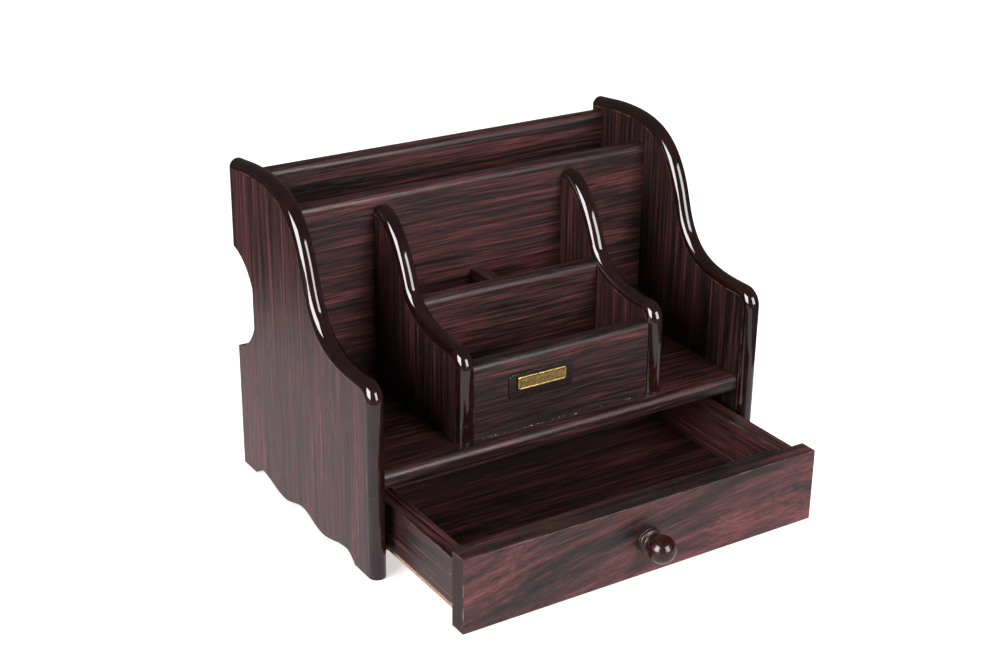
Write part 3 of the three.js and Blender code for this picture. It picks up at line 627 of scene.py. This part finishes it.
def long_edges(mesh, low, high, wanted):
    """Edges along X at the named corners of a block, such as ("front", "top")."""
    sides = {"front": (1, low.y / MM), "rear": (1, high.y / MM),
             "bottom": (2, low.z / MM), "top": (2, high.z / MM)}
    found = []
    for edge in mesh.edges:
        first, second = (vert.co for vert in edge.verts)
        if abs(first.x - second.x) < 1:
            continue
        for corner in wanted:
            if all(abs(first[sides[word][0]] - sides[word][1]) < 0.5 for word in corner):
                found.append(edge)
    return found


def wrapped_board(node, name, corners, radius, place, **look):
    """A board across the case with rounded long edges at the named corners."""
    low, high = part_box(node)
    mesh = box_mesh(low, high, (JOINT_GAP, 0, 0))
    bevel_edges(mesh, long_edges(mesh, low, high, corners), radius, NOSE_SEGMENTS)
    bevel_edges(mesh, sharp_edges(mesh, SQUARE), BOARD_ARRIS, ARRIS_SEGMENTS, 1)
    finish = rosewood("laminate_" + node, "x", place, **look)
    put_in_scene(mesh, name, [finish, arris_finish], "case", [node])


TOP_EDGES = (("front", "top"), ("rear", "top"))
wrapped_board("shelf", "shelf_board", (("front", "top"), ("front", "bottom")), NOSE,
              (0.07, 0.35, 0.91))
wrapped_board("back_panel", "back_board", TOP_EDGES, NOSE, (0.47, 0.11, 0.59), bold=0.28)
wrapped_board("rear_divider", "rear_divider_board", TOP_EDGES, NOSE, (0.77, 0.63, 0.27),
              wander=0.0022, bold=0.28)
wrapped_board("card_front", "card_front_board", TOP_EDGES, NOSE, (0.15, 0.83, 0.45),
              wander=0.0022, warmth=-0.018, bold=0.28)
wrapped_board("card_back", "card_back_board", TOP_EDGES, NOSE, (0.55, 0.95, 0.07))

low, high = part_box("pen_divider")
mesh = box_mesh(low, high, (0, JOINT_GAP, 0))
top_edges = [edge for edge in mesh.edges
             if abs(edge.verts[0].co.y - edge.verts[1].co.y) > 1
             and min(vert.co.z for vert in edge.verts) > high.z / MM - 0.5]
bevel_edges(mesh, top_edges, PEN_NOSE, PEN_NOSE_SEGMENTS)
bevel_edges(mesh, sharp_edges(mesh, SQUARE), BOARD_ARRIS, ARRIS_SEGMENTS, 1)
put_in_scene(mesh, "pen_divider_board",
             [rosewood("laminate_pen_divider", "y", (0.37, 0.2, 0.66)), arris_finish],
             "case", ["pen_divider"])

# ---- bottom of the case and of the drawer ---------------------------------------------
# Thin hardboard sheets. The drawer's is printed like the laminate on its upper face and
# raw tan on its cut edges and underneath; the case's is raw on both faces.

SHEET_ARRIS = 0.12


def raw_hardboard(name, pale, dark):
    """Pressed wood fibre: tan, speckled with darker fibres, matt and slightly furry."""
    material, surface = new_material(name, IOR=1.45)
    point = object_point(material)
    fibre = stretched_noise(material, point, 0.002, 0.0005, 3.0, 0.7)
    fleck = blotches(material, point, 900.0, 2.0)
    cloud = blotches(material, point, 35.0, 2.0)
    colour = mix_colour(material, spread(material, fibre, 0.35, 0.65), dark, pale)
    colour = mix_colour(material, spread(material, fleck, 0.60, 0.72), colour,
                        (0.09, 0.045, 0.02, 1))
    colour = mix_colour(material, spread(material, cloud, 0.35, 0.7, 0.0, 0.35),
                        colour, dark)
    connect(material, colour, surface, "Base Color")
    connect(material, spread(material, cloud, 0.3, 0.7, 0.62, 0.78), surface, "Roughness")
    rough_up(material, surface, fibre, 0.4, 0.0001)
    return material


hardboard = raw_hardboard("raw_hardboard", (0.37, 0.215, 0.135, 1), (0.25, 0.135, 0.078, 1))
hardboard_brown = raw_hardboard("brown_hardboard", (0.23, 0.125, 0.066, 1),
                                (0.15, 0.078, 0.04, 1))


def sheet_piece(node, name, body, upper, lower):
    mesh = box_mesh(*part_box(node))
    bevel_edges(mesh, list(mesh.edges), SHEET_ARRIS, 1)
    mesh.normal_update()
    for face in mesh.faces:
        face.material_index = 1 if face.normal.z > 0.9 else 0
    put_in_scene(mesh, name, [lower, upper], body, [node])


sheet_piece("case_bottom", "case_bottom_sheet", "case", hardboard_brown, hardboard_brown)
sheet_piece("drawer_bottom", "drawer_bottom_sheet", "drawer",
            rosewood("print_drawer_bottom", "x", (0.21, 0.75, 0.38), breadth=0.85), hardboard)

# ---- plate on the card tray -----------------------------------------------------------
# A small dark plastic plate stuck to the card front, with a plain brass bar on it. The bar
# is cast with a sunk border line and has been polished by hand.

PLATE_CORNER, PLATE_CORNER_SEGMENTS = 2.4, 6
PLATE_EDGE, PLATE_EDGE_SEGMENTS = 0.3, 2
BAR_CORNER, BAR_CORNER_SEGMENTS = 1.0, 5
BAR_EDGE, BAR_EDGE_SEGMENTS = 0.5, 3
BORDER = 0.45
BORDER_LINE, BORDER_DEPTH = 0.15, 0.25

plate_finish, plate_surface = new_material("plate_plastic", IOR=1.45)
plate_point = object_point(plate_finish)
plate_cloud = blotches(plate_finish, plate_point, 220.0, 3.0)
plate_scuff = stretched_noise(plate_finish, plate_point, 0.006, 0.0003, 2.0)
connect(plate_finish, mix_colour(plate_finish, plate_cloud,
                                 (0.0045, 0.0026, 0.0026, 1), (0.0125, 0.0072, 0.0070, 1)),
        plate_surface, "Base Color")
connect(plate_finish, spread(plate_finish, plate_scuff, 0.4, 0.7, 0.18, 0.42),
        plate_surface, "Roughness")
rough_up(plate_finish, plate_surface, plate_cloud, 0.2, 0.00005)

brass, brass_surface = new_material("cast_brass", Metallic=1.0)
brass_point = object_point(brass)
brass_cloud = blotches(brass, brass_point, 500.0, 4.0)
brass_brush = stretched_noise(brass, brass_point, 0.008, 0.00018, 2.0)
brass_colour = mix_colour(brass, spread(brass, brass_cloud, 0.35, 0.7),
                          (0.36, 0.235, 0.075, 1), (0.56, 0.40, 0.16, 1))
brass_colour = mix_colour(brass, spread(brass, brass_cloud, 0.60, 0.75, 0, 0.6),
                          brass_colour, (0.07, 0.038, 0.014, 1))
connect(brass, brass_colour, brass_surface, "Base Color")
connect(brass, spread(brass, brass_brush, 0.35, 0.7, 0.20, 0.42), brass_surface, "Roughness")
rough_up(brass, brass_surface, brass_brush, 0.3, 0.00004)


def corner_edges(mesh):
    """The four short edges of a block that run front to back."""
    return [edge for edge in mesh.edges
            if abs(edge.verts[0].co.x - edge.verts[1].co.x) < 1e-4
            and abs(edge.verts[0].co.z - edge.verts[1].co.z) < 1e-4]


def front_rim(mesh):
    """Edges round the front face of a piece."""
    front = min(vert.co.y for vert in mesh.verts)
    return [edge for edge in mesh.edges
            if all(abs(vert.co.y - front) < 1e-4 for vert in edge.verts)]


def front_face(mesh):
    """The largest face at the very front of a piece."""
    front = min(vert.co.y for vert in mesh.verts)
    return max((face for face in mesh.faces
                if all(abs(vert.co.y - front) < 1e-4 for vert in face.verts)),
               key=lambda face: face.calc_area())


mesh = box_mesh(*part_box("plate_base"))
bevel_edges(mesh, corner_edges(mesh), PLATE_CORNER, PLATE_CORNER_SEGMENTS)
bevel_edges(mesh, front_rim(mesh), PLATE_EDGE, PLATE_EDGE_SEGMENTS)
put_in_scene(mesh, "plate", [plate_finish], "case", ["plate_base"])

mesh = box_mesh(*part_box("plate_bar"))
bevel_edges(mesh, corner_edges(mesh), BAR_CORNER, BAR_CORNER_SEGMENTS)
bevel_edges(mesh, front_rim(mesh), BAR_EDGE, BAR_EDGE_SEGMENTS)
bmesh.ops.inset_region(mesh, faces=[front_face(mesh)], thickness=BORDER, use_even_offset=True)
bmesh.ops.inset_region(mesh, faces=[front_face(mesh)], thickness=BORDER_LINE,
                       depth=-BORDER_DEPTH, use_even_offset=True)
put_in_scene(mesh, "plate_bar_brass", [brass], "case", ["plate_bar"])

# ---- drawer front ---------------------------------------------------------------------
# A thicker square-cut board in a livelier, slanting cut of the same laminate. Its ends are
# closed with a thin glued edge strip that has worn pale along its corners.

FRONT_ARRIS = 0.28
STRIP, FRONT_RUBBED, STRIP_RUBBED, FRONT_TOP = 1, 2, 3, 4  # the front's own print is 0

end_strip, strip_surface = new_material("end_strip", IOR=1.3)
strip_point = object_point(end_strip)
strip_upright = add_node(end_strip, "Mapping", {
    "Vector": strip_point, "Rotation": GRAIN_TURN["z"]}).outputs[0]
strip_lines = stretched_noise(end_strip, strip_upright, 0.018, 0.0005, 3.0, 0.65)
strip_rub = blotches(end_strip, strip_point, 700.0, 3.0)
strip_colour = mix_colour(end_strip, spread(end_strip, strip_lines, 0.36, 0.66),
                          (0.012, 0.0045, 0.0042, 1), (0.034, 0.0130, 0.0120, 1))
strip_colour = mix_colour(end_strip, spread(end_strip, strip_rub, 0.60, 0.76, 0, 0.7),
                          strip_colour, (0.085, 0.065, 0.060, 1))
connect(end_strip, strip_colour, strip_surface, "Base Color")
connect(end_strip, spread(end_strip, strip_lines, 0.3, 0.7, 0.45, 0.62),
        strip_surface, "Roughness")
rough_up(end_strip, strip_surface, strip_lines, 0.5, 0.0001)

pale_arris = worn_arris("end_strip_arris", (0.17, 0.13, 0.12, 1))

low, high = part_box("drawer_front")
mesh = box_mesh(low, high)
bevel_edges(mesh, list(mesh.edges), FRONT_ARRIS, ARRIS_SEGMENTS, FRONT_RUBBED)
mesh.normal_update()
near_end = high.x / MM - 0.5
for face in mesh.faces:
    if abs(face.normal.x) > 0.98:
        face.material_index = STRIP
    elif face.normal.z > 0.98:
        face.material_index = FRONT_TOP
    elif face.material_index == FRONT_RUBBED and abs(face.calc_center_median().x) > near_end:
        face.material_index = STRIP_RUBBED
put_in_scene(mesh, "drawer_front_board",
             [rosewood("laminate_drawer_front", "x", (0.13, 0.57, 0.83), slant=0.11,
                       wander=0.006, breadth=2.6, warmth=0.058, bold=0.36),
              end_strip, arris_finish, pale_arris,
              rosewood("laminate_drawer_front_top", "x", (0.35, 0.21, 0.63), breadth=3.0,
                       warmth=-0.01, bold=0.38)],
             "drawer", ["drawer_front"])

# ---- drawer box -----------------------------------------------------------------------
# Four straight laminated boards butted and pinned at the corners. Their upper edges carry
# the same print as their faces, and the arrises are rubbed by the drawer's travel. The
# left side's laminate has split along the grain behind a pin driven near its front end.

BOX_ARRIS = 0.25
PIN_FROM_FRONT = 0.0030  # the pin and the split in metres, as their finish measures them
PIN_HEIGHT = 0.0232
SPLIT_LENGTH = 0.055
SPLIT_WAVER = 0.0012
SPLIT_EDGE, SPLIT_CORE = 0.00042, 0.00018
LIP_BELOW = 0.0006  # pale raised lip, this far under the split
LIP_EDGE, LIP_CORE = 0.00035, 0.00015
HEAD_EDGE, HEAD_CORE = 0.00055, 0.00030


def drawer_board(node, grain, place, **look):
    low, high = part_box(node)
    shrink = (0, JOINT_GAP, 0) if grain == "y" else (JOINT_GAP, 0, 0)
    mesh = box_mesh(low, high, shrink)
    bevel_edges(mesh, list(mesh.edges), BOX_ARRIS, ARRIS_SEGMENTS, 1)
    finish = rosewood("laminate_" + node, grain, place, **look)
    put_in_scene(mesh, node + "_board", [finish, arris_finish], "drawer", [node])
    return finish


def split_at_pin(material, pin, end):
    """A hairline split in the laminate that runs back from a rusty pin head to end."""
    surface = material.node_tree.nodes["Principled BSDF"]
    under = surface.inputs["Base Color"].links[0].from_socket
    point = object_point(material)
    parts = add_node(material, "SeparateXYZ", {"Vector": point})
    waver = blotches(material, point, 60.0, 2.0)
    height = math_node(material, "ADD", parts.outputs["Z"],
                       math_node(material, "MULTIPLY", waver, SPLIT_WAVER))
    above = math_node(material, "SUBTRACT", height, pin.z + SPLIT_WAVER / 2)
    gap = spread(material, math_node(material, "ABSOLUTE", above), SPLIT_EDGE, SPLIT_CORE)
    lip = math_node(material, "ABSOLUTE", math_node(material, "ADD", above, LIP_BELOW))
    lip = spread(material, lip, LIP_EDGE, LIP_CORE, 0, 0.5)
    inside = math_node(material, "MULTIPLY",
                       spread(material, parts.outputs["Y"], pin.y, pin.y + 0.002),
                       spread(material, parts.outputs["Y"], end, end - 0.01))
    colour = mix_colour(material, math_node(material, "MULTIPLY", lip, inside), under,
                        (0.085, 0.050, 0.045, 1))
    colour = mix_colour(material, math_node(material, "MULTIPLY", gap, inside), colour,
                        (0.002, 0.0015, 0.0015, 1))
    away = add_node(material, "VectorMath", {0: point, 1: pin}, operation="DISTANCE")
    head = spread(material, away.outputs["Value"], HEAD_EDGE, HEAD_CORE)
    colour = mix_colour(material, head, colour, (0.30, 0.105, 0.035, 1))
    connect(material, colour, surface, "Base Color")


left_side_finish = drawer_board("drawer_side_left", "y", (0.91, 0.33, 0.21), wander=0.0008,
                                bold=0.12)
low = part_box("drawer_side_left")[0]
split_at_pin(left_side_finish, Vector((low.x, low.y + PIN_FROM_FRONT, PIN_HEIGHT)),
             low.y + SPLIT_LENGTH)
drawer_board("drawer_side_right", "y", (0.43, 0.19, 0.57), wander=0.0008)
drawer_board("drawer_inner_front", "x", (0.67, 0.85, 0.11))
drawer_board("drawer_back", "x", (0.25, 0.41, 0.97))

# ---- knob -----------------------------------------------------------------------------
# A ball on a short neck and ringed collar, turned from one piece of hardwood on a lathe,
# stained dark cherry and dipped in gloss lacquer, which is thinner and duller on the collar
# and neck than on the ball. Its screw comes from inside the drawer.

KNOB_COLLAR = 6.0
KNOB_NECK = 4.2
KNOB_BALL = 6.4
KNOB_REACH = 9.8  # middle of the ball, from the drawer front
KNOB_TURNS = 64
BALL_STEPS = 24
DULL_END = 0.8  # how far up the ball the lacquer comes to its full gloss

# Each turned step as how far in from the collar's radius, or out from the neck's, and how
# far from the drawer front.
COLLAR_STEPS = ((0.1, 0), (0, 0.15), (0, 0.9), (0.15, 1.08), (0.45, 1.15), (0.5, 1.28),
                (0.45, 1.4), (0.15, 1.48), (0.05, 1.65), (0.15, 2.3), (0.5, 2.65))
NECK_STEPS = ((0.45, 3.0), (0.15, 3.3), (0, 3.8))

low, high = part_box("knob")
knob_x = (low.x + high.x) / 2 / MM
knob_z = (low.z + high.z) / 2 / MM
knob_back = high.y / MM
neck_end = KNOB_REACH - math.sqrt(KNOB_BALL ** 2 - KNOB_NECK ** 2)

cherry, cherry_surface = new_material("cherry_lacquer", IOR=1.46)
cherry_point = object_point(cherry)
cherry_turned = add_node(cherry, "Mapping", {
    "Vector": cherry_point, "Rotation": GRAIN_TURN["y"]}).outputs[0]
cherry_grain = stretched_noise(cherry, cherry_turned, 0.012, 0.0009, 3.0)
cherry_colour = mix_colour(cherry, spread(cherry, cherry_grain, 0.38, 0.64),
                           (0.010, 0.0026, 0.0023, 1), (0.030, 0.0058, 0.0048, 1))
connect(cherry, cherry_colour, cherry_surface, "Base Color")
cherry_depth = add_node(cherry, "SeparateXYZ", {"Vector": cherry_point}).outputs["Y"]
thin_lacquer = spread(cherry, cherry_depth, (knob_back - neck_end) * MM,
                      (knob_back - neck_end + DULL_END) * MM, 0, 0.2)
gloss = spread(cherry, cherry_grain, 0.3, 0.7, 0.17, 0.24)
connect(cherry, math_node(cherry, "ADD", gloss, thin_lacquer), cherry_surface, "Roughness")
rough_up(cherry, cherry_surface, cherry_grain, 0.15, 0.00005)

knob_section = [(0, 0)]
knob_section += [(KNOB_COLLAR - inward, reach) for inward, reach in COLLAR_STEPS]
knob_section += [(KNOB_NECK + outward, reach) for outward, reach in NECK_STEPS]
knob_section.append((KNOB_NECK - 0.02, neck_end - 0.4))
ball_start = math.atan2(neck_end - KNOB_REACH, KNOB_NECK)
for i in range(BALL_STEPS + 1):
    angle = ball_start + (math.pi / 2 - ball_start) * i / BALL_STEPS
    knob_section.append((max(KNOB_BALL * math.cos(angle), 0) if i < BALL_STEPS else 0,
                         KNOB_REACH + KNOB_BALL * math.sin(angle)))

mesh = bmesh.new()
section = [mesh.verts.new((knob_x + radius, knob_back - reach, knob_z))
           for radius, reach in knob_section]
ribs = [mesh.edges.new(pair) for pair in zip(section, section[1:])]
bmesh.ops.spin(mesh, geom=section + ribs, cent=(knob_x, 0, knob_z), axis=(0, 1, 0),
               angle=2 * math.pi, steps=KNOB_TURNS, use_merge=True)
bmesh.ops.remove_doubles(mesh, verts=mesh.verts, dist=0.001)
bmesh.ops.recalc_face_normals(mesh, faces=mesh.faces)
put_in_scene(mesh, "knob_turned", [cherry], "drawer", ["knob"])

# ---- dowels, screws and nails ---------------------------------------------------------
# Beech dowels join the boards to the side panels. Zinc-plated screws come up through the
# shelf into the partitions, one fixes the knob, and thin steel nails pin the drawer.

beech, beech_surface = new_material("beech_dowel", IOR=1.45)
beech_point = object_point(beech)
beech_grain = stretched_noise(beech, beech_point, 0.01, 0.0006, 3.0)
beech_fleck = blotches(beech, beech_point, 1100.0, 1.0)
beech_colour = mix_colour(beech, spread(beech, beech_grain, 0.35, 0.65),
                          (0.50, 0.31, 0.16, 1), (0.62, 0.42, 0.24, 1))
beech_colour = mix_colour(beech, spread(beech, beech_fleck, 0.6, 0.7, 0, 0.5),
                          beech_colour, (0.33, 0.17, 0.08, 1))
connect(beech, beech_colour, beech_surface, "Base Color")
connect(beech, spread(beech, beech_grain, 0.3, 0.7, 0.55, 0.7), beech_surface, "Roughness")
rough_up(beech, beech_surface, beech_grain, 0.3, 0.0001)


def plated_steel(name, bright, tarnish, rust):
    material, surface = new_material(name, Metallic=1.0)
    point = object_point(material)
    cloud = blotches(material, point, 600.0, 4.0)
    spots = blotches(material, point, 1700.0, 2.0)
    colour = mix_colour(material, spread(material, cloud, 0.3, 0.7), bright, tarnish)
    colour = mix_colour(material, spread(material, spots, 0.55, 0.68, 0, rust),
                        colour, (0.21, 0.075, 0.02, 1))
    connect(material, colour, surface, "Base Color")
    connect(material, spread(material, cloud, 0.3, 0.7, 0.25, 0.5), surface, "Roughness")
    rough_up(material, surface, spots, 0.25, 0.00005)
    return material


zinc = plated_steel("zinc_plate", (0.62, 0.63, 0.64, 1), (0.42, 0.41, 0.38, 1), 0.25)
nail_steel = plated_steel("nail_steel", (0.36, 0.33, 0.30, 1), (0.22, 0.15, 0.10, 1), 0.9)

for name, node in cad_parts.items():
    if "dowel" in name:
        finish = beech
    elif "screw" in name:
        finish = zinc
    elif "brad" in name:
        finish = nail_steel
    else:
        continue
    for material_slot in node.material_slots:
        material_slot.material = finish

# ---- dried glue -----------------------------------------------------------------------
# Crumbs of dried glue and dust left along the joint between the card front and the shelf,
# where the card tray was glued down by hand.

GLUE_SEED = 11
CRUMB_COUNT = 34
CRUMB_RADIUS = (0.09, 0.26)
CRUMB_LENGTH = (0.8, 2.0)  # and its height, as shares of a round crumb's
CRUMB_HEIGHT = (0.4, 0.9)
CRUMB_FREE_END = 2  # clean length of the joint at either end
CRUMB_STRAY = 0.25
CRUMB_SUNK, CRUMB_LIFT = 0.8, 0.3
crumb_rng = random.Random(GLUE_SEED)

glue, glue_surface = new_material("dried_glue", IOR=1.45)
glue_point = object_point(glue)
glue_cloud = blotches(glue, glue_point, 1500.0, 2.0)
connect(glue, mix_colour(glue, glue_cloud, (0.22, 0.19, 0.17, 1),
                         (0.48, 0.43, 0.39, 1)), glue_surface, "Base Color")
connect(glue, spread(glue, glue_cloud, 0.3, 0.7, 0.35, 0.6), glue_surface, "Roughness")
rough_up(glue, glue_surface, glue_cloud, 0.4, 0.0001)

low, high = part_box("card_front")
mesh = bmesh.new()
for i in range(CRUMB_COUNT):
    size = crumb_rng.uniform(*CRUMB_RADIUS)
    made = bmesh.ops.create_icosphere(mesh, subdivisions=1, radius=size)["verts"]
    bmesh.ops.scale(mesh, verts=made, vec=(crumb_rng.uniform(*CRUMB_LENGTH), 1,
                                           crumb_rng.uniform(*CRUMB_HEIGHT)))
    bmesh.ops.rotate(mesh, verts=made, cent=(0, 0, 0),
                     matrix=Matrix.Rotation(crumb_rng.uniform(0, math.pi), 3, "Z"))
    bmesh.ops.translate(mesh, verts=made, vec=(
        crumb_rng.uniform(low.x / MM + CRUMB_FREE_END, high.x / MM - CRUMB_FREE_END),
        low.y / MM - size * CRUMB_SUNK - abs(crumb_rng.gauss(0, CRUMB_STRAY)),
        low.z / MM + size * CRUMB_LIFT))
put_in_scene(mesh, "dried_glue", [glue], "case", [])
